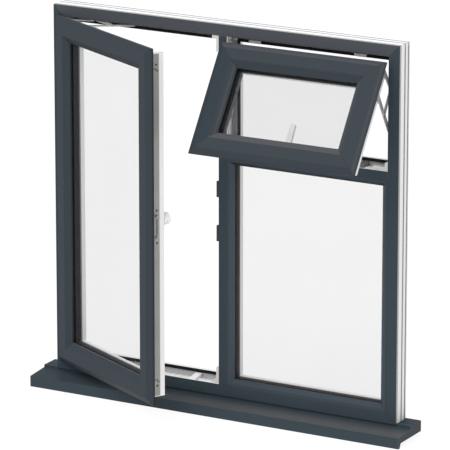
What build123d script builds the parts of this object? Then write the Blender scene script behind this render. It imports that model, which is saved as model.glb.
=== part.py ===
import os
from math import atan2, copysign, cos, degrees, hypot, radians, sin

from build123d import *

# Outer frame, in millimetres
frame_width = 1200
frame_height = 1180
frame_depth = 68
frame_face = 37
bar_face = 28
upstand_rise = 20
upstand_depth = 20
transom_share = 0.658
perimeter_groove_back_gaps = (5, 27)
perimeter_groove_width = 9
perimeter_groove_depth = 7
front_step_width = 12
front_step_depth = 2
rebate_groove_starts = (8, 31)
rebate_groove_width = 9
rebate_groove_depth = 6

# Sill
sill_height = 30
sill_overhang = 50
sill_projection = 80
sill_back_reach = 4
sill_nose_top = 19
sill_lip_drop = 15
sill_lip_foot = 8
sill_lip_root = 16
sill_slope_top = 26
sill_bed_rise = 4
sill_bed_start = 5
sill_groove_start = 24
sill_groove_width = 4
sill_groove_depth = 3
sill_cap_thickness = 3

# Sash section
sash_overlap = 6
sash_thickness = 67
edge_radius = 2
bevel_width = 19
bevel_depth = 12
flange_edge = 5
flange_seal = 3
flange_reach = 20
flat_band = 36
slope_width = 22
slope_fall = 14
lip_thickness = 5
glass_rebate = 61
flange_seal_start = 2
flange_seal_width = 5

# Open poses: how far each sash stands open and where its hinge edge sits
casement_angle = 28.35
casement_hinge_shift = 21.5
casement_hinge_reach = 18
vent_angle = 34.2
vent_hinge_drop = 10.5
vent_hinge_reach = 33.5

# Sealed glass units
pane_thickness = 4
glass_cavity = 16
pane_edge_gap = 4
spacer_margin = 3
glass_seal = 4
glass_seal_width = 8
bead_slope = 4
mitre_gap = 0.3

# Outside beads of the fixed light
fixed_bead_width = 21
fixed_bead_flat = 9.5
fixed_bead_set_back = 0.5
fixed_bead_lip = 3

# Weather seals on the upstands
weather_seal_start = 13
weather_seal_end = 22
weather_seal_depth = 4

# Lock strips and keeps
strip_width = 19
strip_thickness = 2.5
strip_start = 30
strip_end_gap = 24
cam_radius = 5
cam_height = 6
cam_offset = 33
latch_slot_length = 50
latch_slot_width = 6
latch_recess = 1.5
strip_screw_radius = 3.5
strip_screw_offset = 51
strip_end_screw_offset = 32
keep_length = 50
keep_offset = 70
keep_height = 10
keep_start = 4
keep_width = 26
keep_channel_start = 9
keep_channel_width = 13
keep_channel_depth = 8

# Handles
handle_base_width = 30
handle_base_length = 86
handle_base_thickness = 6
handle_boss_radius = 19
handle_boss_height = 20
handle_lever_length = 105
handle_neck_radius = 11
handle_neck_blend = 8
handle_tip_radius = 7.5
handle_lever_thickness = 14
handle_rounding = 4
casement_handle_rise = 15
vent_handle_rise = 6

# Friction stays
track_width = 18
track_centre = 22
track_end_gap = 12
stay_plate = 3
casement_bar_start = 24
vent_bar_start = 12
stay_bar_centre = 42
arm_width = 14
rivet_radius = 4
casement_track_share = 0.6
casement_bar_share = 0.52
casement_shoe_share = 0.165
casement_link_share = 0.2
casement_arm_share = 0.43
casement_shoe_pivot = 36
casement_arm_pivot = 142
vent_track_share = 0.75
vent_bar_share = 0.6
vent_shoe_share = 0.265
vent_link_share = 0.31
vent_arm_share = 0.663
vent_shoe_pivot = 22
vent_arm_pivot = 97

# Corner blocks and run-up blocks
corner_block_long = 52
corner_block_short = 25
corner_block_thickness = 11
corner_block_start = 4
corner_block_width = 18
run_up_width = 24
run_up_front = 5
run_up_back = 11
run_up_rounding = 3
run_up_start = 4
run_up_inset = 96
head_clip_length = 41
head_clip_height = 9
head_clip_thickness = 2
head_clip_insets = (74, 433)

frame_bottom = sill_height
opening_height = frame_height - 2 * frame_face
opening_width = (frame_width - 2 * frame_face - bar_face) / 2
opening_left = -frame_width / 2 + frame_face
opening_right = bar_face / 2
opening_low = frame_bottom + frame_face
transom_low = frame_bottom + frame_height * transom_share - bar_face / 2
vent_low = transom_low + bar_face
vent_opening_height = opening_low + opening_height - vent_low
fixed_height = transom_low - opening_low
sash_width = opening_width + 2 * sash_overlap
casement_height = opening_height + 2 * sash_overlap
vent_height = vent_opening_height + 2 * sash_overlap
upstand_front = frame_depth - upstand_depth
stay_gap = flange_reach - sash_overlap
flange_back = bevel_depth + flange_edge
flat_end = bevel_width + flat_band
sightline = flat_end + slope_width
lip_back = slope_fall + lip_thickness

casement_across = Vector(cos(radians(casement_angle)), -sin(radians(casement_angle)), 0)
casement_inward = Vector(sin(radians(casement_angle)), cos(radians(casement_angle)), 0)
casement_corner = Vector(
    opening_left - sash_overlap - casement_hinge_shift,
    -casement_hinge_reach,
    opening_low - sash_overlap,
)
vent_up = Vector(0, sin(radians(vent_angle)), cos(radians(vent_angle)))
vent_inward = Vector(0, cos(radians(vent_angle)), -sin(radians(vent_angle)))
vent_top = Vector(
    opening_right - sash_overlap,
    -vent_hinge_reach,
    opening_low + opening_height + sash_overlap - vent_hinge_drop,
)

frame_base = Plane((-frame_width / 2, 0, frame_bottom), x_dir=(1, 0, 0), z_dir=(0, 0, 1))
casement_hole = Plane((opening_left, 0, opening_low), x_dir=(1, 0, 0), z_dir=(0, 0, 1))
vent_hole = Plane((opening_right, 0, vent_low), x_dir=(1, 0, 0), z_dir=(0, 0, 1))
fixed_hole = Plane((opening_right, 0, opening_low), x_dir=(1, 0, 0), z_dir=(0, 0, 1))
casement_base = Plane(casement_corner, x_dir=casement_across, z_dir=(0, 0, 1))
vent_base = Plane(vent_top - vent_up * vent_height, x_dir=(1, 0, 0), z_dir=vent_up)


def side_plane(base, width, height, side):
    across = base.x_dir
    up = base.z_dir
    if side == "left":
        return Plane(base.origin, x_dir=across, z_dir=up)
    if side == "right":
        return Plane(base.origin + across * width + up * height, x_dir=across * -1, z_dir=up * -1)
    if side == "bottom":
        return Plane(base.origin + across * width, x_dir=up, z_dir=across * -1)
    return Plane(base.origin + up * height, x_dir=up * -1, z_dir=across)


def run_length(width, height, side):
    return height if side in ("left", "right") else width


def face_plane(base, depth):
    return Plane(base.origin + base.y_dir * depth, x_dir=base.x_dir, z_dir=base.y_dir * -1)


def mitred(base, width, height, side, outline, gap=0.0, soft=()):
    run = side_plane(base, width, height, side)
    length = run_length(width, height, side)
    cut = Plane(run.origin, x_dir=run.x_dir, z_dir=run.x_dir.cross(run.z_dir))
    reach = max(u for u, v in outline) + 1
    deep = max(v for u, v in outline) + 1
    with BuildPart() as piece:
        with BuildSketch(run) as section:
            with BuildLine():
                Polyline(*outline, close=True)
            make_face()
            if soft:
                corners = [
                    spot
                    for spot in section.vertices()
                    if any(hypot(spot.X - u, spot.Y - v) < edge_radius / 10 for u, v in soft)
                ]
                fillet(corners, edge_radius)
        extrude(amount=length)
        with BuildSketch(cut):
            with BuildLine():
                Polyline(
                    (-1, gap - 1),
                    (reach, reach + gap),
                    (reach, length - reach - gap),
                    (-1, length + 1 - gap),
                    close=True,
                )
            make_face()
        extrude(amount=deep, both=True, mode=Mode.INTERSECT)
    return piece.part


def ring(base, width, height, outer, inner, front, back):
    with BuildPart() as piece:
        with BuildSketch(face_plane(base, front)):
            with Locations((width / 2, height / 2)):
                Rectangle(width - 2 * outer, height - 2 * outer)
                Rectangle(width - 2 * inner, height - 2 * inner, mode=Mode.SUBTRACT)
        extrude(amount=front - back)
    return piece.part


def plate(base, width, height, inset, front, back):
    with BuildPart() as piece:
        with BuildSketch(face_plane(base, front)):
            with Locations((width / 2, height / 2)):
                Rectangle(width - 2 * inset, height - 2 * inset)
        extrude(amount=front - back)
    return piece.part


def grooved_floor(level, starts):
    points = []
    for start in starts:
        points.append((level, start))
        points.append((level - rebate_groove_depth, start))
        points.append((level - rebate_groove_depth, start + rebate_groove_width))
        points.append((level, start + rebate_groove_width))
    return points


def save(part, name):
    part.label = name
    export_step(part, f"parts/{name}.step")


os.makedirs("parts", exist_ok=True)

# Outer frame members, mitred at the four corners
frame_outline = [(front_step_depth, 0), (frame_face, 0)]
frame_outline += grooved_floor(frame_face, rebate_groove_starts)
frame_outline += [
    (frame_face, upstand_front),
    (frame_face + upstand_rise, upstand_front),
    (frame_face + upstand_rise, frame_depth),
    (0, frame_depth),
]
for gap in perimeter_groove_back_gaps:
    groove_end = frame_depth - gap
    groove_start = groove_end - perimeter_groove_width
    frame_outline += [
        (0, groove_end),
        (perimeter_groove_depth, groove_end),
        (perimeter_groove_depth, groove_start),
        (0, groove_start),
    ]
frame_outline += [(0, front_step_width), (front_step_depth, front_step_width)]
for side, name in (
    ("left", "frame_left_jamb"),
    ("right", "frame_right_jamb"),
    ("top", "frame_head"),
    ("bottom", "frame_bottom_rail"),
):
    with BuildPart() as member:
        add(mitred(frame_base, frame_width, frame_height, side, frame_outline, soft=[(frame_face, 0)]))
        if side != "top":
            with Locations((0, sill_bed_start, frame_bottom)):
                Box(
                    frame_width,
                    frame_depth,
                    sill_bed_rise,
                    align=(Align.CENTER, Align.MIN, Align.MIN),
                    mode=Mode.SUBTRACT,
                )
    save(member.part, name)

# Mullion and transom share one tee section, notched over the upstands they meet
half_bar = bar_face / 2
bar_right = [(half_bar, 0)] + grooved_floor(half_bar, rebate_groove_starts)
bar_right += [
    (half_bar, upstand_front),
    (half_bar + upstand_rise, upstand_front),
    (half_bar + upstand_rise, frame_depth),
]
bar_outline = bar_right + [(-u, v) for u, v in reversed(bar_right)]


def cross_bar(start, length):
    with BuildPart() as piece:
        with BuildSketch(start):
            with BuildLine():
                Polyline(*bar_outline, close=True)
            make_face()
        extrude(amount=length)
        for far in (0, length):
            notch = Plane(start.origin + start.z_dir * far, x_dir=start.x_dir, z_dir=start.z_dir)
            with BuildSketch(notch):
                with Locations((0, upstand_front + upstand_depth / 2)):
                    Rectangle(bar_face + 2 * upstand_rise, upstand_depth)
            extrude(amount=upstand_rise, both=True, mode=Mode.SUBTRACT)
    return piece.part


mullion_start = Plane((0, 0, opening_low), x_dir=(1, 0, 0), z_dir=(0, 0, 1))
transom_start = Plane(
    (opening_right + opening_width, 0, transom_low + half_bar),
    x_dir=(0, 0, 1),
    z_dir=(-1, 0, 0),
)
save(cross_bar(mullion_start, opening_height), "mullion")
save(cross_bar(transom_start, opening_width), "transom")

# Sill with a sloping top, a step at the frame and a drip lip at the nose
sill_width = frame_width + 2 * sill_overhang
sill_end = Plane((sill_width / 2, 0, 0), x_dir=(0, 1, 0), z_dir=(1, 0, 0))
sill_back = frame_depth + sill_back_reach
sill_bed = sill_height + sill_bed_rise
sill_groove_floor = sill_bed - sill_groove_depth
sill_groove_end = sill_groove_start + sill_groove_width
sill_outline = [
    (-sill_projection, -sill_lip_drop),
    (-sill_projection + sill_lip_foot, -sill_lip_drop),
    (-sill_projection + sill_lip_root, 0),
    (sill_back, 0),
    (sill_back, sill_bed),
    (sill_groove_end, sill_bed),
    (sill_groove_end, sill_groove_floor),
    (sill_groove_start, sill_groove_floor),
    (sill_groove_start, sill_bed),
    (sill_bed_start, sill_bed),
    (sill_bed_start, sill_slope_top),
    (-sill_projection, sill_nose_top),
]
with BuildPart() as sill:
    with BuildSketch(sill_end.offset(-sill_cap_thickness)):
        with BuildLine():
            Polyline(*sill_outline, close=True)
        make_face()
    extrude(amount=-(sill_width - 2 * sill_cap_thickness))
save(sill.part, "sill")

with BuildPart() as sill_caps:
    with BuildSketch(sill_end):
        with BuildLine():
            Polyline(*sill_outline, close=True)
        make_face()
    extrude(amount=-sill_cap_thickness)
    mirror(about=Plane.YZ)
save(sill_caps.part, "sill_end_caps")

# Weather seals on the upstands of the two opening lights
for hole, high, name in (
    (casement_hole, opening_height, "casement_weather_seal"),
    (vent_hole, vent_opening_height, "vent_weather_seal"),
):
    save(
        ring(
            hole,
            opening_width,
            high,
            weather_seal_start,
            weather_seal_end,
            upstand_front - weather_seal_depth,
            upstand_front,
        ),
        name,
    )

# Fixed light: sealed unit, outside beads and seals
unit_thickness = 2 * pane_thickness + glass_cavity
fixed_glass_front = upstand_front - glass_seal - unit_thickness


def sealed_unit(base, width, height, edge, sight, front, name):
    back = front + unit_thickness
    outer = plate(base, width, height, edge, front, front + pane_thickness)
    inner = plate(base, width, height, edge, back - pane_thickness, back)
    save(Compound(children=[outer, inner]), name + "_glass")
    bar = ring(
        base,
        width,
        height,
        edge + spacer_margin,
        sight,
        front + pane_thickness,
        back - pane_thickness,
    )
    save(bar, name + "_spacer_bar")


def bead_set(base, width, height, outline, name):
    beads = [
        mitred(base, width, height, side, outline, mitre_gap)
        for side in ("left", "right", "top", "bottom")
    ]
    save(Compound(children=beads), name)


sealed_unit(
    fixed_hole,
    opening_width,
    fixed_height,
    pane_edge_gap,
    fixed_bead_width,
    fixed_glass_front,
    "fixed_light",
)
bead_back = fixed_glass_front - glass_seal
bead_set(
    fixed_hole,
    opening_width,
    fixed_height,
    [
        (0, fixed_bead_set_back),
        (fixed_bead_flat, fixed_bead_set_back),
        (fixed_bead_width, bead_back - fixed_bead_lip),
        (fixed_bead_width, bead_back),
        (0, bead_back),
    ],
    "fixed_light_beads",
)
fixed_seals = [
    ring(
        fixed_hole,
        opening_width,
        fixed_height,
        fixed_bead_width - glass_seal_width,
        fixed_bead_width,
        front,
        front + glass_seal,
    )
    for front in (bead_back, fixed_glass_front + unit_thickness)
]
save(Compound(children=fixed_seals), "fixed_light_seals")

# Sash members, mitred, with a bevelled overlapping flange and a face that slopes to the glass
sash_outline = [
    (0, bevel_depth),
    (bevel_width, 0),
    (flat_end, 0),
    (sightline, slope_fall),
    (sightline, lip_back),
    (glass_rebate, lip_back),
    (glass_rebate, sash_thickness),
    (flange_reach, sash_thickness),
    (flange_reach, flange_back),
    (0, flange_back),
]
sash_soft = [(0, bevel_depth), (bevel_width, 0), (flat_end, 0), (sightline, slope_fall)]
sash_glass_front = lip_back + glass_seal
sash_glass_back = sash_glass_front + unit_thickness
sash_bead_outline = [
    (glass_rebate, sash_glass_back + glass_seal),
    (sightline, sash_glass_back + glass_seal),
    (sightline, sash_thickness - bead_slope),
    (sightline - bead_slope, sash_thickness),
    (glass_rebate, sash_thickness),
]


def glazed_sash(base, height, name, side_names):
    for side, side_name in side_names:
        member = mitred(base, sash_width, height, side, sash_outline, soft=sash_soft)
        save(member, f"{name}_{side_name}")
    sealed_unit(
        base,
        sash_width,
        height,
        glass_rebate + pane_edge_gap,
        sightline,
        sash_glass_front,
        name,
    )
    bead_set(base, sash_width, height, sash_bead_outline, name + "_beads")
    seals = [
        ring(
            base,
            sash_width,
            height,
            sightline - glass_seal_width,
            sightline,
            front,
            front + glass_seal,
        )
        for front in (lip_back, sash_glass_back)
    ]
    seals.append(
        ring(
            base,
            sash_width,
            height,
            flange_seal_start,
            flange_seal_start + flange_seal_width,
            flange_back,
            flange_back + flange_seal,
        )
    )
    save(Compound(children=seals), name + "_seals")


glazed_sash(
    casement_base,
    casement_height,
    "casement",
    (
        ("left", "hinge_stile"),
        ("right", "lock_stile"),
        ("top", "top_rail"),
        ("bottom", "bottom_rail"),
    ),
)
glazed_sash(
    vent_base,
    vent_height,
    "vent",
    (
        ("left", "left_stile"),
        ("right", "right_stile"),
        ("top", "top_rail"),
        ("bottom", "bottom_rail"),
    ),
)


# Lock strips with two cams, let into the edge of the lock stile and the vent's bottom rail
def lock_strip(run, length, name):
    edge = Plane(
        run.origin + run.x_dir * flange_reach + run.y_dir * (strip_start + strip_width / 2),
        x_dir=run.z_dir,
        z_dir=run.x_dir * -1,
    )
    with BuildPart() as piece:
        with BuildSketch(edge):
            with Locations((length / 2, 0)):
                Rectangle(length - 2 * strip_end_gap, strip_width)
        extrude(amount=strip_thickness)
        with BuildSketch(edge.offset(strip_thickness)):
            with Locations((length / 2 - cam_offset, 0), (length / 2 + cam_offset, 0)):
                Circle(cam_radius)
        extrude(amount=cam_height)
        with BuildSketch(edge.offset(strip_thickness)):
            with Locations((length / 2, 0)):
                SlotOverall(latch_slot_length, latch_slot_width)
            with Locations(
                (length / 2 - strip_screw_offset, 0),
                (length / 2 + strip_screw_offset, 0),
                (strip_end_gap + strip_end_screw_offset, 0),
                (length - strip_end_gap - strip_end_screw_offset, 0),
            ):
                Circle(strip_screw_radius)
        extrude(amount=-latch_recess, mode=Mode.SUBTRACT)
    save(piece.part, name)


lock_strip(
    side_plane(casement_base, sash_width, casement_height, "right"),
    casement_height,
    "casement_lock_strip",
)
lock_strip(
    side_plane(vent_base, sash_width, vent_height, "bottom"),
    sash_width,
    "vent_lock_strip",
)

# Keeps on the mullion and the transom, channelled for the cams
casement_middle = opening_low + opening_height / 2
vent_middle = opening_right + opening_width / 2
with BuildPart() as keeps:
    with Locations(*[(-half_bar, keep_start, casement_middle + k * keep_offset) for k in (-1, 1)]):
        Box(
            keep_height,
            keep_width,
            keep_length,
            align=(Align.MAX, Align.MIN, Align.CENTER),
        )
    with Locations(*[(vent_middle + k * keep_offset, keep_start, vent_low) for k in (-1, 1)]):
        Box(
            keep_length,
            keep_width,
            keep_height,
            align=(Align.CENTER, Align.MIN, Align.MIN),
        )
    channel_front = keep_start + keep_channel_start
    with Locations(
        *[(-half_bar - keep_height, channel_front, casement_middle + k * keep_offset) for k in (-1, 1)]
    ):
        Box(
            keep_channel_depth,
            keep_channel_width,
            keep_length,
            align=(Align.MIN, Align.MIN, Align.CENTER),
            mode=Mode.SUBTRACT,
        )
    with Locations(
        *[(vent_middle + k * keep_offset, channel_front, vent_low + keep_height) for k in (-1, 1)]
    ):
        Box(
            keep_length,
            keep_channel_width,
            keep_channel_depth,
            align=(Align.CENTER, Align.MIN, Align.MAX),
            mode=Mode.SUBTRACT,
        )
save(keeps.part, "lock_keeps")


# Handles: a rounded base plate along the sash member and a lever turned out over the glass
def handle(centre, along, inward, name):
    seat = Plane(centre, x_dir=along, z_dir=inward)
    crosswise = Plane(centre, x_dir=inward.cross(along), z_dir=inward)
    outward = Axis(centre, inward)
    with BuildPart() as base:
        with BuildSketch(crosswise):
            SlotOverall(handle_base_length, handle_base_width)
        extrude(amount=handle_base_thickness)
        fillet(base.faces().sort_by(outward)[-1].edges(), handle_rounding)
    save(base.part, name + "_handle_base")
    lever_level = handle_base_thickness + handle_boss_height - handle_lever_thickness
    with BuildPart() as lever:
        with BuildSketch(seat.offset(handle_base_thickness)):
            Circle(handle_boss_radius - handle_rounding)
        extrude(amount=handle_boss_height - handle_lever_thickness)
        with BuildSketch(seat.offset(lever_level)) as grip:
            Circle(handle_neck_radius)
            with Locations((handle_lever_length, 0)):
                Circle(handle_tip_radius)
            make_hull()
            Circle(handle_boss_radius)
            necks = [
                spot
                for spot in grip.vertices()
                if abs(hypot(spot.X, spot.Y) - handle_boss_radius) < handle_rounding / 10
            ]
            fillet(necks, handle_neck_blend)
        extrude(amount=handle_lever_thickness)
        fillet(lever.faces().sort_by(outward)[-1].edges(), handle_rounding)
    save(lever.part, name + "_handle_lever")


stile_middle = (flange_reach + glass_rebate) / 2
handle(
    casement_base.origin
    + casement_base.x_dir * (sash_width - stile_middle)
    + casement_base.z_dir * (casement_height / 2 + casement_handle_rise)
    + casement_base.y_dir * sash_thickness,
    casement_base.x_dir * -1,
    casement_base.y_dir,
    "casement",
)
handle(
    vent_base.origin
    + vent_base.x_dir * (sash_width / 2)
    + vent_base.z_dir * (stile_middle + vent_handle_rise)
    + vent_base.y_dir * sash_thickness,
    vent_base.z_dir,
    vent_base.y_dir,
    "vent",
)


# Friction stays: a track on the frame, a bar on the sash, a long arm, a shoe arm and a link
low_level = (stay_plate, 2 * stay_plate)
high_level = (2 * stay_plate, 3 * stay_plate)
bar_level = (stay_gap - stay_plate, stay_gap)


def flat_link(plane, first, second, level, round_ends, studs):
    span = hypot(second[0] - first[0], second[1] - first[1])
    turn = degrees(atan2(second[1] - first[1], second[0] - first[0]))
    middle = ((first[0] + second[0]) / 2, (first[1] + second[1]) / 2)
    with BuildPart() as piece:
        with BuildSketch(plane.offset(level[0])):
            with Locations(Location((middle[0], middle[1], 0), (0, 0, turn))):
                if round_ends:
                    SlotCenterToCenter(span, arm_width)
                else:
                    Rectangle(span, track_width)
        extrude(amount=level[1] - level[0])
        for spot, bottom, top in studs:
            with BuildSketch(plane.offset(bottom)):
                with Locations(spot):
                    Circle(rivet_radius)
            extrude(amount=top - bottom)
    return piece.part


stay_parts = {"stay_tracks": [], "stay_bars": [], "stay_arms": [], "stay_links": []}


def stay_pair(plane, twin, track, bar, shoe, arm, link_start):
    middle = ((arm[0][0] + arm[1][0]) / 2, (arm[0][1] + arm[1][1]) / 2)
    made = [
        ("stay_tracks", flat_link(plane, track[0], track[1], (0, stay_plate), False, ())),
        ("stay_bars", flat_link(plane, bar[0], bar[1], bar_level, False, ())),
        ("stay_links", flat_link(plane, link_start, middle, low_level, True, ())),
    ]
    for first, second in (shoe, arm):
        studs = ((first, stay_plate, high_level[0]), (second, high_level[1], bar_level[0]))
        made.append(("stay_arms", flat_link(plane, first, second, high_level, True, studs)))
    for node, part in made:
        stay_parts[node] += [part, part.mirror(twin)]


def casement_point(along):
    spot = casement_corner + casement_across * along + casement_inward * stay_bar_centre
    return (spot.X, spot.Y)


def casement_track_point(share):
    return (opening_left + opening_width * share, track_centre)


def vent_point(down):
    spot = vent_top - vent_up * down + vent_inward * stay_bar_centre
    return (-spot.Z, -spot.Y)


def vent_track_point(share):
    return (vent_opening_height * share - opening_low - opening_height, -track_centre)


stay_pair(
    Plane((0, 0, opening_low), x_dir=(1, 0, 0), z_dir=(0, 0, 1)),
    Plane.XY.offset(casement_middle),
    (
        (opening_left + track_end_gap, track_centre),
        casement_track_point(casement_track_share),
    ),
    (casement_point(casement_bar_start), casement_point(sash_width * casement_bar_share)),
    (casement_track_point(casement_shoe_share), casement_point(casement_shoe_pivot)),
    (casement_track_point(casement_arm_share), casement_point(casement_arm_pivot)),
    casement_track_point(casement_link_share),
)
stay_pair(
    Plane((opening_right + opening_width, 0, 0), x_dir=(0, 0, -1), z_dir=(-1, 0, 0)),
    Plane.YZ.offset(vent_middle),
    (
        (track_end_gap - opening_low - opening_height, -track_centre),
        vent_track_point(vent_track_share),
    ),
    (vent_point(vent_bar_start), vent_point(vent_height * vent_bar_share)),
    (vent_track_point(vent_shoe_share), vent_point(vent_shoe_pivot)),
    (vent_track_point(vent_arm_share), vent_point(vent_arm_pivot)),
    vent_track_point(vent_link_share),
)
for node, solids in stay_parts.items():
    save(Compound(children=solids), node)

# Corner blocks on the lock side of each opening, wedges the sashes run up on, clips on the head seal
opening_high = opening_low + opening_height
vent_right = opening_right + opening_width
with BuildPart() as corner_blocks:
    for corner_x, corner_z, reach_x, reach_z in (
        (-half_bar, opening_low, -corner_block_short, corner_block_long),
        (-half_bar, opening_high, -corner_block_short, -corner_block_long),
        (vent_right, vent_low, -corner_block_long, corner_block_short),
        (opening_right, vent_low, corner_block_long, corner_block_short),
    ):
        thick_x = copysign(corner_block_thickness, reach_x)
        thick_z = copysign(corner_block_thickness, reach_z)
        corner = Plane((corner_x, corner_block_start, corner_z), x_dir=(1, 0, 0), z_dir=(0, -1, 0))
        with BuildSketch(corner):
            with BuildLine():
                Polyline(
                    (0, 0),
                    (reach_x, 0),
                    (reach_x, thick_z),
                    (thick_x, thick_z),
                    (thick_x, reach_z),
                    (0, reach_z),
                    close=True,
                )
            make_face()
        extrude(amount=-corner_block_width)
save(corner_blocks.part, "corner_blocks")

run_up_end = upstand_front - weather_seal_depth
with BuildPart() as run_up_blocks:
    for centre_x, floor in ((-half_bar - run_up_inset, opening_low), (vent_right - run_up_inset, vent_low)):
        flank = Plane((centre_x - run_up_width / 2, 0, floor), x_dir=(0, 1, 0), z_dir=(1, 0, 0))
        with BuildSketch(flank):
            with BuildLine():
                Polyline(
                    (run_up_start, 0),
                    (run_up_end, 0),
                    (run_up_end, run_up_back),
                    (run_up_start, run_up_front),
                    close=True,
                )
            make_face()
        extrude(amount=run_up_width)
    ramps = run_up_blocks.faces().filter_by(lambda face: 0 < face.normal_at().Z < 1)
    long_edges = [edge for edge in ramps.edges() if abs(edge.tangent_at(0).Y) > 0.5]
    fillet(long_edges, run_up_rounding)
save(run_up_blocks.part, "run_up_blocks")

with BuildPart() as head_clips:
    clip_level = opening_high - weather_seal_start
    with Locations(*[(opening_right + inset, run_up_end, clip_level) for inset in head_clip_insets]):
        Box(
            head_clip_length,
            head_clip_thickness,
            head_clip_height,
            align=(Align.CENTER, Align.MAX, Align.MAX),
        )
save(head_clips.part, "head_seal_clips")
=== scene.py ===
import math

import bmesh
import bpy
from mathutils import Matrix, Vector


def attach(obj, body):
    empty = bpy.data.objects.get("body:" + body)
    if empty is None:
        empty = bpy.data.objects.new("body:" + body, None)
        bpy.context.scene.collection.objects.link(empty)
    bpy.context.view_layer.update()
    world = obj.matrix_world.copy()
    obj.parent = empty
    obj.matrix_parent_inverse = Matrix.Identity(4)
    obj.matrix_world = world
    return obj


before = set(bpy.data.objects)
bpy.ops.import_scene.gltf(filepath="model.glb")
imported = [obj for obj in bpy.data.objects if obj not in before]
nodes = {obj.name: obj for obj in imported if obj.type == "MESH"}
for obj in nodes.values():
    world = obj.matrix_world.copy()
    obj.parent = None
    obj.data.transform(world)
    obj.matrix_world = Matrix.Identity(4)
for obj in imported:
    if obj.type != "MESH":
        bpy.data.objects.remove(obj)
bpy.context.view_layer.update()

right, back, up = Vector((1, 0, 0)), Vector((0, 1, 0)), Vector((0, 0, 1))


class Wire:  # one shader socket, so that maths on it reads as maths
    def __init__(self, tree, socket=None):
        self.tree = tree
        self.socket = socket

    def make(self, kind, settings=None, values=None, out=0):
        node = self.tree.nodes.new(kind)
        for key, value in (settings or {}).items():
            setattr(node, key, value)
        for key, value in (values or {}).items():
            if isinstance(value, Wire):
                self.tree.links.new(value.socket, node.inputs[key])
            else:
                node.inputs[key].default_value = value
        return Wire(self.tree, node.outputs[out] if node.outputs else None)

    def maths(self, operation, first, second=0.0):
        return self.make("ShaderNodeMath", {"operation": operation}, {0: first, 1: second})

    def __add__(self, other):
        return self.maths("ADD", self, other)

    def __sub__(self, other):
        return self.maths("SUBTRACT", self, other)

    def __rsub__(self, other):
        return self.maths("SUBTRACT", other, self)

    def __mul__(self, other):
        return self.maths("MULTIPLY", self, other)

    def __lt__(self, other):
        return self.maths("LESS_THAN", self, other)

    def __gt__(self, other):
        return self.maths("GREATER_THAN", self, other)

    def __and__(self, other):
        return self.maths("MINIMUM", self, other)

    def __or__(self, other):
        return self.maths("MAXIMUM", self, other)

    def __abs__(self):
        return self.maths("ABSOLUTE", self)

    __radd__, __rmul__, __rand__, __ror__ = __add__, __mul__, __and__, __or__

    def between(self, low, high):
        return (self > low) & (self < high)

    def ramp(self, start, slope, top=1.0):  # grows from 0 at its start and stays at its top
        return ((self - start) * slope | 0.0) & top

    def blend(self, first, second):  # this value picks between two colours
        return self.make("ShaderNodeMix", {"data_type": "RGBA"}, {"Factor": self, 6: first, 7: second}, out=2)

    def along(self, direction, start=None):  # how far this vector goes in a direction, from a point if given
        kind, moved = "ShaderNodeVectorMath", self
        if start is not None:
            moved = self.make(kind, {"operation": "SUBTRACT"}, {0: self, 1: start})
        return self.make(kind, {"operation": "DOT_PRODUCT"}, {0: moved, 1: direction}, out=1)

    def noise(self, scale, detail=3.0):
        return self.make("ShaderNodeTexNoise", {}, {"Vector": self, "Scale": scale, "Detail": detail})


def newFinish(name):
    material = bpy.data.materials.new(name)
    material.use_nodes = True
    material.node_tree.nodes.clear()
    start = Wire(material.node_tree)
    place = start.make("ShaderNodeTexCoord", out=3)  # the CAD objects stand at the origin
    return material, start, place


def closeFinish(start, color, rough, bump=None, bumpDepth=0.00005, **others):
    values = {"Base Color": color, "Roughness": rough}
    values.update({key.replace("_", " "): value for key, value in others.items()})
    if bump is not None:
        relief = {"Strength": 1.0, "Distance": bumpDepth, "Height": bump}
        values["Normal"] = start.make("ShaderNodeBump", {}, relief)
    shader = start.make("ShaderNodeBsdfPrincipled", {}, values)
    start.make("ShaderNodeOutputMaterial", {}, {"Surface": shader})


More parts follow.
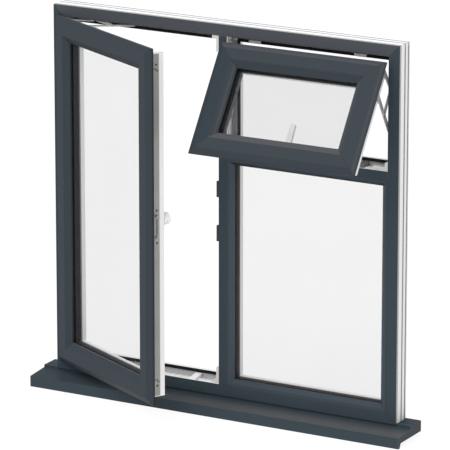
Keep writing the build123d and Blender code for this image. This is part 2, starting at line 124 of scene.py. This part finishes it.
# Profiles: anthracite outside, white inside and in the rebates
profile = {
    "sash": ((0.034, 0.043, 0.052, 1), (0.038, 0.047, 0.056, 1)),
    "frame": ((0.035, 0.049, 0.059, 1), (0.039, 0.053, 0.063, 1)),
    # painted sheen: the head takes a lighter, warmer copy of the frame's anthracite
    "head": ((0.060, 0.065, 0.075, 1), (0.065, 0.070, 0.080, 1)),
    "bead": ((0.044, 0.057, 0.070, 1), (0.048, 0.061, 0.074, 1)),
    # painted shade: the vent's left stile takes a darker copy of the sash anthracite
    "leftStile": ((0.0275, 0.0374, 0.0468, 1), (0.0300, 0.0400, 0.0490, 1)),
    "cap": ((0.054, 0.062, 0.070, 1), (0.058, 0.066, 0.074, 1)),
    # dust and painted sheen on top faces out in front
    "dustAndSheenTone": (0.083, 0.085, 0.094, 1),
    # painted highlights on bevels that face sideways, for the sashes and the beads
    "edge": (0.060, 0.067, 0.077, 1),
    "beadEdge": (0.077, 0.0935, 0.114, 1),
    "shaded": (0.022, 0.030, 0.037, 1),
    "seamLine": (0.012, 0.014, 0.016, 1),
    "white": (0.93, 0.93, 0.93, 1),
    "whiteSoft": (0.89, 0.89, 0.89, 1),
    # painted light: white for the head's top faces
    "whiteTop": (0.93, 0.93, 0.94, 1),
    # painted shade: greys for the grooves and rebates of the white profile
    "groove": (0.48, 0.48, 0.49, 1),
    "topGroove": (0.44, 0.44, 0.45, 1),
    "rebate": (0.30, 0.30, 0.31, 1),
    "barRebate": (0.16, 0.16, 0.17, 1),
    "topFaces": (0.55, 2.6),  # start and slope of each ramp
    "outFaces": (-0.006, -22.0),
    # painted shadow of the open casement: the frame's top faces lose their sheen at this end
    "besideCasement": (-0.42, 6.0),
    "sideFaces": (0.3, 6.0),
    "underFaces": (-0.12, -3.0),
    "sashDustAndSheen": 0.95,
    "sashUnder": 0.45,
    "beadRidge": 0.55,
    "seam": 0.0005,
    "seamShare": 0.75,
    "cloud": 7.0,
    "grain": 1400.0,
    "grainDetail": 2.0,
    "rough": 0.34,
    "roughGrain": 0.12,
    "roughCloud": 0.06,
    "bump": 0.00006,
    "ventBeadLean": 0.3,
    "ventBeadRough": 0.40,
    "gloss": 0.035,
}


def foilTone(place, normal, cloud, tone, ridge=None):
    facing = normal.along(up)
    sash = tone in ("sash", "leftStile")
    reached = facing.ramp(*profile["topFaces"]) * place.along(back).ramp(*profile["outFaces"])
    # Top faces out in front are paler, from dust and a painted sheen; on the frame this fades at the end
    # under the open casement, where its shadow is painted
    dustAndSheen = reached * (profile["sashDustAndSheen"] if sash else place.along(right).ramp(*profile["besideCasement"]))
    dark = dustAndSheen.blend(cloud.blend(*profile[tone]), profile["dustAndSheenTone"])
    if ridge is not None:  # painted highlight along the ridges of the bevels, on faces turned sideways
        lean = normal.along(right)
        if tone == "sash":
            lean = abs(lean)
        highlight = lean.ramp(*profile["sideFaces"]) * ridge
        dark = highlight.blend(dark, profile["beadEdge" if tone == "bead" else "edge"])
    under = facing.ramp(*profile["underFaces"], profile["sashUnder"] if sash else 1.0)
    return under.blend(dark, profile["shaded"])


def whiteTone(normal, cloud, tone=None, groove=None, rebate=None):
    white = cloud.blend(profile["white"], profile["whiteSoft"])
    if tone == "head":
        # painted light on the head's top faces
        white = normal.along(up).ramp(*profile["topFaces"]).blend(white, profile["whiteTop"])
    # painted shade in the rebates and grooves
    if rebate is not None:
        white = rebate.blend(white, profile["barRebate" if groove is None else "rebate"])
    if groove is not None:
        white = groove.blend(white, profile["topGroove" if tone == "head" else "groove"])
    return white


def profileGround(start, place):
    cloud = place.noise(profile["cloud"])
    grain = place.noise(profile["grain"], profile["grainDetail"])
    return cloud, grain, start.make("ShaderNodeNewGeometry", out=1)


def closeProfile(start, color, cloud, grain, bump=None):
    rough = profile["rough"] + profile["roughGrain"] * grain + profile["roughCloud"] * cloud
    closeFinish(start, color, rough, bump, profile["bump"], Specular_IOR_Level=profile["gloss"])


def twoSided(start, place, outside, tone, seam=None, groove=None, rebate=None, ridge=None):
    cloud, grain, normal = profileGround(start, place)
    dark = foilTone(place, normal, cloud, tone, ridge)
    color = outside.blend(whiteTone(normal, cloud, tone, groove, rebate), dark)
    if seam is not None:
        color = (seam * profile["seamShare"]).blend(color, profile["seamLine"])
    closeProfile(start, color, cloud, grain, grain * outside)


def foilFinish(name, tone, ridge=None):  # anthracite all over
    material, start, place = newFinish(name)
    cloud, grain, normal = profileGround(start, place)
    closeProfile(start, foilTone(place, normal, cloud, tone, ridge), cloud, grain, grain)
    return material


def insideBeadFinish():
    material, start, place = newFinish("insideBead")
    cloud, grain, normal = profileGround(start, place)
    closeProfile(start, whiteTone(normal, cloud), cloud, grain)
    return material


def ventBeadFinish():  # white, dull on the side that looks into the dark rebate
    material, start, place = newFinish("ventBead")
    cloud = place.noise(profile["cloud"])
    normal = start.make("ShaderNodeNewGeometry", out=1)
    # painted shade on the faces that look into the rebate
    shadedSide = normal.along(right) > profile["ventBeadLean"]
    color = shadedSide.blend(whiteTone(normal, cloud), profile["barRebate"])
    rough = profile["ventBeadRough"] + profile["roughCloud"] * cloud
    closeFinish(start, color, rough, Specular_IOR_Level=profile["gloss"])
    return material


def ringFinish(name, tone, corner, across, inward, rising, width, height, rule):
    material, start, place = newFinish(name)
    side = place.along(across, corner)
    rise = place.along(rising, corner)
    depth = place.along(inward, corner)
    fromSide = side & (width - side)
    fromEnd = rise & (height - rise)
    seam = abs(fromSide - fromEnd) < profile["seam"]
    twoSided(start, place, tone=tone, seam=seam, **rule(depth, fromSide & fromEnd))
    return material


# Where the anthracite ends and the lines lie on each section, in depth from its face and inset from its edge
section = {
    "frameFoil": 0.0021,
    "frameWrap": (0.0055, 0.004),  # depth and inset of the foil round the outer edge
    "groove": (0.0005, 0.0072),
    "rebate": (0.0295, 0.0505),
    "rebateEnd": 0.0485,
    "rebateShade": (0.012, 22.0, 0.72),
    "barFoil": 0.0005,
    "sashFoil": 0.0172,
    "sashSlope": (0.0191, 0.05),
    "outerCrest": (0.005, 0.011),
    "innerCrest": (0.066, 0.072),
    "ventRidge": 0.45,
    "crestRidge": 0.5,
}


# painted shade: the rebates grow darker towards their seals
def rebateShade(depth):  # the rebates grow duller towards their seals
    return (depth < section["rebateEnd"]) & depth.ramp(*section["rebateShade"])


def frameRule(depth, inset):
    wrapDepth, wrapInset = section["frameWrap"]
    return {
        "outside": (depth < section["frameFoil"]) | ((depth < wrapDepth) & (inset < wrapInset)),
        # painted shade in the perimeter groove and the rebate
        "groove": inset.between(*section["groove"]),
        "rebate": inset.between(*section["rebate"]) & rebateShade(depth),
    }


def sashRule(depth, inset):
    slopeDepth, slopeInset = section["sashSlope"]
    return {"outside": (depth < section["sashFoil"]) | ((depth < slopeDepth) & (inset > slopeInset))}


def ventRule(depth, inset):
    # painted highlight, stronger along the crests
    crest = inset.between(*section["outerCrest"]) | inset.between(*section["innerCrest"])
    return dict(sashRule(depth, inset), ridge=section["ventRidge"] + section["crestRidge"] * crest)


def barFinish():
    material, start, place = newFinish("barProfile")
    depth = place.along(back)
    twoSided(start, place, depth < section["barFoil"], "frame", rebate=rebateShade(depth))
    return material


window = {
    "frameWidth": 1.2,
    "frameHeight": 1.18,
    "frameLow": 0.03,
    "sashWidth": 0.561,
    "casementHeight": 1.118,
    "casementCorner": (-0.5905, -0.018, 0.061),
    "casementAngle": 28.35,
    "ventHeight": 0.36456,
    "ventTop": (0.008, -0.0335, 1.1685),
    "ventAngle": 34.2,
}
turn = math.radians(window["casementAngle"])
tilt = math.radians(window["ventAngle"])
casementCorner = Vector(window["casementCorner"])
casementAcross = Vector((math.cos(turn), -math.sin(turn), 0))
casementInward = Vector((math.sin(turn), math.cos(turn), 0))
ventUp = Vector((0, math.sin(tilt), math.cos(tilt)))
ventInward = Vector((0, math.cos(tilt), -math.sin(tilt)))
ventCorner = Vector(window["ventTop"]) - ventUp * window["ventHeight"]

# Corner, directions, size and rule of each ring of mitred profiles
frameRing = (
    Vector((-window["frameWidth"] / 2, 0, window["frameLow"])),
    right,
    back,
    up,
    window["frameWidth"],
    window["frameHeight"],
    frameRule,
)
casementRing = (
    casementCorner,
    casementAcross,
    casementInward,
    up,
    window["sashWidth"],
    window["casementHeight"],
    sashRule,
)
ventRing = (ventCorner, right, ventInward, ventUp, window["sashWidth"], window["ventHeight"], ventRule)


# Sealed units: clear panes with a faint grey cast
glass = {
    "tint": (0.045, 0.050, 0.055, 1),
    "smear": 0.010,
    "smearSize": 5.0,
    "rough": 0.03,
    "roughSmear": 0.02,
    "gloss": 0.10,
    "fixedHaze": 0.039,
    "casementHaze": 0.050,
    "ventHaze": 0.070,
}


def glassFinish(name):
    material, start, place = newFinish(name + "Pane")
    smear = place.noise(glass["smearSize"])
    alpha = glass[name + "Haze"] + glass["smear"] * smear
    rough = glass["rough"] + glass["roughSmear"] * smear
    closeFinish(start, glass["tint"], rough, Alpha=alpha, Specular_IOR_Level=glass["gloss"])
    material.surface_render_method = "BLENDED"
    return material


# Seals: black outside, paler between the glass and the inside bead
seals = {
    "black": (0.005, 0.005, 0.006, 1),
    "highlight": (0.010, 0.010, 0.011, 1),
    "pale": (0.26, 0.26, 0.27, 1),
    "grey": (0.12, 0.12, 0.125, 1),
    "innerDepth": 0.035,
    "grain": 700.0,
    "rough": 0.55,
    "roughGrain": 0.2,
}


def rubberFinish(name, face=None, inward=None, inner="pale", gloss=0.1):
    material, start, place = newFinish(name)
    grain = place.noise(seals["grain"])
    color = grain.blend(seals["black"], seals["highlight"])
    if face is not None:
        color = (place.along(inward, face) > seals["innerDepth"]).blend(color, seals[inner])
    closeFinish(start, color, seals["rough"] + seals["roughGrain"] * grain, grain, Specular_IOR_Level=gloss)
    return material


# Steel of the locks, stays and fasteners: a dull and a bright tone for each
steels = {
    "lockSteel": ((0.31, 0.31, 0.29, 1), (0.38, 0.38, 0.36, 1)),
    "staySteel": ((0.46, 0.46, 0.46, 1), (0.56, 0.56, 0.56, 1)),
    # painted shade: the screw heads are dark, standing for the shade of their holes
    "shadedScrewSteel": ((0.045, 0.045, 0.043, 1), (0.07, 0.07, 0.068, 1)),
    "tongueSteel": ((0.17, 0.17, 0.16, 1), (0.22, 0.22, 0.21, 1)),
    "rivetSteel": ((0.50, 0.50, 0.48, 1), (0.60, 0.60, 0.58, 1)),
    "patch": 14.0,
    "brush": 420.0,
    "brushDetail": 4.0,
    "rough": 0.36,
    "roughBrush": 0.18,
    "bump": 0.00004,
    "metal": 0.6,
}


def steelFinish(name):
    material, start, place = newFinish(name)
    brush = place.noise(steels["brush"], steels["brushDetail"])
    color = place.noise(steels["patch"]).blend(*steels[name])
    rough = steels["rough"] + steels["roughBrush"] * brush
    closeFinish(start, color, rough, brush, steels["bump"], Metallic=steels["metal"])
    return material


# Small moulded pieces and spacer bars: two tones, grain, roughness with its spread, bump and gloss
moulded = {
    "spacerBar": {
        "tones": ((0.026, 0.024, 0.026, 1), (0.036, 0.034, 0.036, 1)),
        "grain": 260.0,
        "rough": (0.5, 0.2),
        "bump": 0.00005,
        "gloss": 0.15,
    },
    # painted shade: the vent's spacer is a darker, duller copy of the spacer bar
    "ventSpacer": {
        "tones": ((0.008, 0.008, 0.008, 1), (0.012, 0.012, 0.012, 1)),
        "grain": 260.0,
        "rough": (0.5, 0.2),
        "bump": 0.00005,
        "gloss": 0.02,
    },
    "blackKeep": {
        "tones": ((0.010, 0.010, 0.011, 1), (0.022, 0.022, 0.024, 1)),
        "grain": 500.0,
        "rough": (0.4, 0.2),
        "bump": 0.00005,
        "gloss": 0.5,
    },
    "greyBlock": {
        "tones": ((0.52, 0.52, 0.51, 1), (0.62, 0.62, 0.61, 1)),
        "grain": 320.0,
        "rough": (0.45, 0.15),
        "bump": 0.00005,
        "gloss": 0.5,
    },
    "runUpBlock": {
        "tones": ((0.86, 0.86, 0.86, 1), (0.92, 0.92, 0.92, 1)),
        "grain": 320.0,
        "rough": (0.45, 0.15),
        "bump": 0.00005,
        "gloss": 0.5,
    },
    "whiteHandle": {
        "tones": ((0.90, 0.90, 0.90, 1), (0.95, 0.95, 0.95, 1)),
        "grain": 240.0,
        "rough": (0.24, 0.1),
        "bump": 0.00003,
        "gloss": 0.5,
    },
}
# painted light and shade: dark and pale stripes stand for the ribs of the block under the vent
ribbed = {
    "tones": ((0.05, 0.05, 0.052, 1), (0.17, 0.17, 0.172, 1)),
    "rate": 1500.0,
    "width": 0.2,
    "above": 0.5,
}


def mouldedFinish(name):
    look = moulded[name]
    material, start, place = newFinish(name)
    grain = place.noise(look["grain"])
    color = grain.blend(*look["tones"])
    if name == "runUpBlock":  # white under the casement, ribbed grey under the vent
        # painted ribs: stripes of light and shade
        ribs = place.maths("SINE", place.along(right) * ribbed["rate"]) > ribbed["width"]
        color = (place.along(up) > ribbed["above"]).blend(color, ribs.blend(*ribbed["tones"]))
    rough, spread = look["rough"]
    closeFinish(start, color, rough + spread * grain, grain, look["bump"], Specular_IOR_Level=look["gloss"])
    return material


finishes = {
    ringFinish("frameProfile", "frame", *frameRing): (
        "frame_left_jamb",
        "frame_right_jamb",
        "frame_bottom_rail",
    ),
    ringFinish("headProfile", "head", *frameRing): ("frame_head",),
    ringFinish("casementProfile", "sash", *casementRing): (
        "casement_hinge_stile",
        "casement_lock_stile",
        "casement_top_rail",
        "casement_bottom_rail",
    ),
    ringFinish("ventProfile", "sash", *ventRing): ("vent_right_stile", "vent_top_rail", "vent_bottom_rail"),
    ringFinish("ventLeftProfile", "leftStile", *ventRing): ("vent_left_stile",),
    barFinish(): ("mullion", "transom"),
    foilFinish("sillFoil", "frame"): ("sill",),
    foilFinish("sillCap", "cap"): ("sill_end_caps",),
    foilFinish("outsideBead", "bead", profile["beadRidge"]): ("fixed_light_beads",),
    insideBeadFinish(): ("casement_beads",),
    ventBeadFinish(): ("vent_beads",),
    glassFinish("fixed"): ("fixed_light_glass",),
    glassFinish("casement"): ("casement_glass",),
    glassFinish("vent"): ("vent_glass",),
    rubberFinish("weatherSeal"): ("casement_weather_seal", "vent_weather_seal"),
    rubberFinish("fixedSeal", Vector((0, 0, 0)), back): ("fixed_light_seals",),
    rubberFinish("casementSeal", casementCorner, casementInward): ("casement_seals",),
    # painted shade: the vent's inner seals take a darker grey than the others
    rubberFinish("ventSeal", ventCorner, ventInward, inner="grey", gloss=0.02): ("vent_seals",),
    mouldedFinish("spacerBar"): ("casement_spacer_bar", "fixed_light_spacer_bar"),
    mouldedFinish("ventSpacer"): ("vent_spacer_bar",),
    steelFinish("lockSteel"): ("casement_lock_strip", "vent_lock_strip"),
    steelFinish("staySteel"): ("stay_tracks", "stay_bars", "stay_arms", "stay_links"),
    mouldedFinish("blackKeep"): ("lock_keeps",),
    mouldedFinish("greyBlock"): ("corner_blocks", "head_seal_clips"),
    mouldedFinish("runUpBlock"): ("run_up_blocks",),
    mouldedFinish("whiteHandle"): (
        "casement_handle_base",
        "casement_handle_lever",
        "vent_handle_base",
        "vent_handle_lever",
    ),
}
for finish, names in finishes.items():
    for name in names:
        nodes[name].data.materials.clear()
        nodes[name].data.materials.append(finish)
print("finishes on", sum(len(names) for names in finishes.values()), "of", len(nodes), "nodes")


# Screws, rivets, latch tongues and hooked joints on the lock strips, and screws in the stay tracks
fittings = {
    "screwRadius": 0.0031,
    "screwHeight": 0.0011,
    "crossLength": 0.0038,
    "crossWidth": 0.0006,
    "crossLevel": 0.85,  # level and height of the cross, as shares of the screw's height
    "crossHeight": 0.2,
    "rivetRadius": 0.0024,
    "rivetHeight": 0.0008,
    "dome": ((1.0, 0.0), (0.96, 0.55), (0.72, 0.9), (0.4, 1.0)),  # shares of radius and height
    "sides": 20,
    "stripReach": 0.020,
    "stripMiddle": 0.0395,
    "stripFace": 0.0025,
    "stripRecess": 0.0010,
    "endScrew": 0.056,
    "midScrew": 0.051,
    "rivetOffset": 0.042,
    "tongue": (0.046, 0.0042, 0.0011),
    "jointOffset": 0.072,
    "jointBar": (0.0018, 0.0085, 0.0003),
    "jointLink": (0.0080, 0.0018, 0.0003),
    "jointShift": (0.0032, 0.0045),
    "trackY": 0.022,
    "trackFace": 0.003,
    "casementTrackShares": (0.07, 0.32, 0.54),
    "ventTrackShares": (0.08, 0.48, 0.72),
}
opening = {
    "left": -0.563,
    "low": 0.067,
    "high": 1.173,
    "width": 0.549,
    "ventLeft": 0.014,
    "ventHeight": 0.35256,
}
fittingFinishes = [
    steelFinish("shadedScrewSteel"),
    rubberFinish("slotBlack"),
    steelFinish("tongueSteel"),
    steelFinish("rivetSteel"),
]
screwSlot, blackSlot, tongueSlot, rivetSlot = range(len(fittingFinishes))


def facePlace(spot, outward, along):  # matrix that stands a fitting on a face
    side = outward.cross(along)
    return Matrix.Translation(spot) @ Matrix((along, side, outward)).transposed().to_4x4()


def addDome(mesh, place, radius, height, slot):
    rings = []
    for share, level in fittings["dome"]:
        ring = []
        for step in range(fittings["sides"]):
            angle = 2 * math.pi * step / fittings["sides"]
            x, y = radius * share * math.cos(angle), radius * share * math.sin(angle)
            ring.append(mesh.verts.new(place @ Vector((x, y, height * level))))
        rings.append(ring)
    for low, high in zip(rings, rings[1:]):
        for step in range(len(low)):
            after = (step + 1) % len(low)
            mesh.faces.new((low[step], low[after], high[after], high[step])).material_index = slot
    mesh.faces.new(rings[-1]).material_index = slot


def addBlock(mesh, place, size, level, slot):
    corners = [
        mesh.verts.new(place @ Vector((size[0] * x / 2, size[1] * y / 2, level + size[2] * z)))
        for z in (0, 1)
        for x, y in ((-1, -1), (1, -1), (1, 1), (-1, 1))
    ]
    for face in ((4, 5, 6, 7), (0, 1, 5, 4), (1, 2, 6, 5), (2, 3, 7, 6), (3, 0, 4, 7), (3, 2, 1, 0)):
        mesh.faces.new([corners[spot] for spot in face]).material_index = slot


def addScrew(mesh, place):
    height = fittings["screwHeight"]
    addDome(mesh, place, fittings["screwRadius"], height, screwSlot)
    # painted shade: black bars on each head stand for its cross recess
    size = (fittings["crossLength"], fittings["crossWidth"], height * fittings["crossHeight"])
    for turnedBy in (0, math.pi / 2):
        cross = place @ Matrix.Rotation(turnedBy, 4, "Z")
        addBlock(mesh, cross, size, height * fittings["crossLevel"], blackSlot)


def addFittings(name, build):
    mesh = bmesh.new()
    build(mesh)
    data = bpy.data.meshes.new(name)
    mesh.to_mesh(data)
    mesh.free()
    for finish in fittingFinishes:
        data.materials.append(finish)
    piece = bpy.data.objects.new(name, data)
    bpy.context.collection.objects.link(piece)
    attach(piece, "root")


def stripFittings(start, outward, along, length):
    middle = length / 2

    def onStrip(spot, level):
        return facePlace(start + along * spot + outward * fittings[level], outward, along)

    def build(mesh):
        for spot in (
            fittings["endScrew"],
            middle - fittings["midScrew"],
            middle + fittings["midScrew"],
            length - fittings["endScrew"],
        ):
            addScrew(mesh, onStrip(spot, "stripRecess"))
        addBlock(mesh, onStrip(middle, "stripRecess"), fittings["tongue"], 0.0, tongueSlot)
        for side in (-1, 1):
            rivet = onStrip(middle + side * fittings["rivetOffset"], "stripFace")
            addDome(mesh, rivet, fittings["rivetRadius"], fittings["rivetHeight"], rivetSlot)
        for spot in (fittings["jointOffset"], length - fittings["jointOffset"]):  # hooked joints of the strip
            joint = onStrip(spot, "stripFace")
            addBlock(mesh, joint, fittings["jointLink"], 0.0, blackSlot)
            for side in (-1, 1):
                shift = Matrix.Translation([side * part for part in (*fittings["jointShift"], 0)])
                addBlock(mesh, joint @ shift, fittings["jointBar"], 0.0, blackSlot)

    return build


def trackScrews(mesh):
    face = fittings["trackFace"]
    for share in fittings["casementTrackShares"]:
        x = opening["left"] + opening["width"] * share
        for z, outward in ((opening["low"] + face, up), (opening["high"] - face, -up)):
            addScrew(mesh, facePlace(Vector((x, fittings["trackY"], z)), outward, right))
    ventRight = opening["ventLeft"] + opening["width"]
    for share in fittings["ventTrackShares"]:
        z = opening["high"] - opening["ventHeight"] * share
        for x, outward in ((opening["ventLeft"] + face, right), (ventRight - face, -right)):
            addScrew(mesh, facePlace(Vector((x, fittings["trackY"], z)), outward, up))


casementStripStart = (
    casementCorner
    + casementAcross * (window["sashWidth"] - fittings["stripReach"])
    + up * window["casementHeight"]
    + casementInward * fittings["stripMiddle"]
)
ventStripStart = (
    ventCorner
    + right * window["sashWidth"]
    + ventUp * fittings["stripReach"]
    + ventInward * fittings["stripMiddle"]
)
addFittings(
    "casementStripFittings",
    stripFittings(casementStripStart, casementAcross, -up, window["casementHeight"]),
)
addFittings("ventStripFittings", stripFittings(ventStripStart, -ventUp, -right, window["sashWidth"]))
addFittings("stayTrackScrews", trackScrews)
print("screws and rivets on the lock strips and stays")

# Studio: pale floor, soft light, camera
studio = {
    "floorLevel": -0.0155,
    "floorHalf": 400.0,
    "floor": (0.11, 0.11, 0.11, 1),
    "floorCloud": (0.10, 0.10, 0.10, 1),
    "floorCloudSize": 0.4,
    "floorRough": 0.9,
    "floorGlow": 0.90,
    "world": 0.62,
    "keyAzimuth": -12.0,
    "keyElevation": 50.0,
    "keyDistance": 6.0,
    "keySpread": 55.0,
    "keyPower": 2.3,
}
floorMaterial, floorStart, floorPlace = newFinish("paleFloor")
closeFinish(
    floorStart,
    floorPlace.noise(studio["floorCloudSize"]).blend(studio["floor"], studio["floorCloud"]),
    studio["floorRough"],
    Emission_Color=(1, 1, 1, 1),
    Emission_Strength=studio["floorGlow"],
)
half = studio["floorHalf"]
floorMesh = bpy.data.meshes.new("floor")
floorCorners = [(-half, -half, 0), (half, -half, 0), (half, half, 0), (-half, half, 0)]
floorMesh.from_pydata(floorCorners, [], [(0, 1, 2, 3)])
floor = bpy.data.objects.new("floor", floorMesh)
floor.location.z = studio["floorLevel"]
floorMesh.materials.append(floorMaterial)
bpy.context.collection.objects.link(floor)

world = bpy.data.worlds.new("studio")
bpy.context.scene.world = world
world.use_nodes = True
world.node_tree.nodes["Background"].inputs["Color"].default_value = (1, 1, 1, 1)
world.node_tree.nodes["Background"].inputs["Strength"].default_value = studio["world"]


def outFrom(azimuth, elevation):  # unit vector from the window, measured from straight in front
    swing, lift = math.radians(azimuth), math.radians(elevation)
    return Vector((math.sin(swing) * math.cos(lift), -math.cos(swing) * math.cos(lift), math.sin(lift)))


def standAt(thing, target, out, distance):  # looks back at the target
    thing.location = target + out * distance
    thing.rotation_mode = "QUATERNION"
    thing.rotation_quaternion = (-out).to_track_quat("-Z", "Y")
    bpy.context.collection.objects.link(thing)


keyLight = bpy.data.lights.new("key", "SUN")
keyLight.energy = studio["keyPower"]
keyLight.angle = math.radians(studio["keySpread"])
key = bpy.data.objects.new("key", keyLight)
keyOut = outFrom(studio["keyAzimuth"], studio["keyElevation"])
standAt(key, Vector((0, 0, 0)), keyOut, studio["keyDistance"])

cameraView = {
    "target": (0.00818, 0.0, 0.58134),
    "azimuth": 29.067,
    "elevation": 15.390,
    "distance": 13.0376,
    "sensor": 36.0,
    "lens": 340.674,
    "farthest": 2000.0,
}
cameraData = bpy.data.cameras.new("camera")
cameraData.sensor_width = cameraView["sensor"]
cameraData.lens = cameraView["lens"]
cameraData.clip_end = cameraView["farthest"]
camera = bpy.data.objects.new("camera", cameraData)
cameraOut = outFrom(cameraView["azimuth"], cameraView["elevation"])
standAt(camera, Vector(cameraView["target"]), cameraOut, cameraView["distance"])
bpy.context.scene.camera = camera
bpy.context.scene.view_settings.view_transform = "Standard"
print("studio ready")
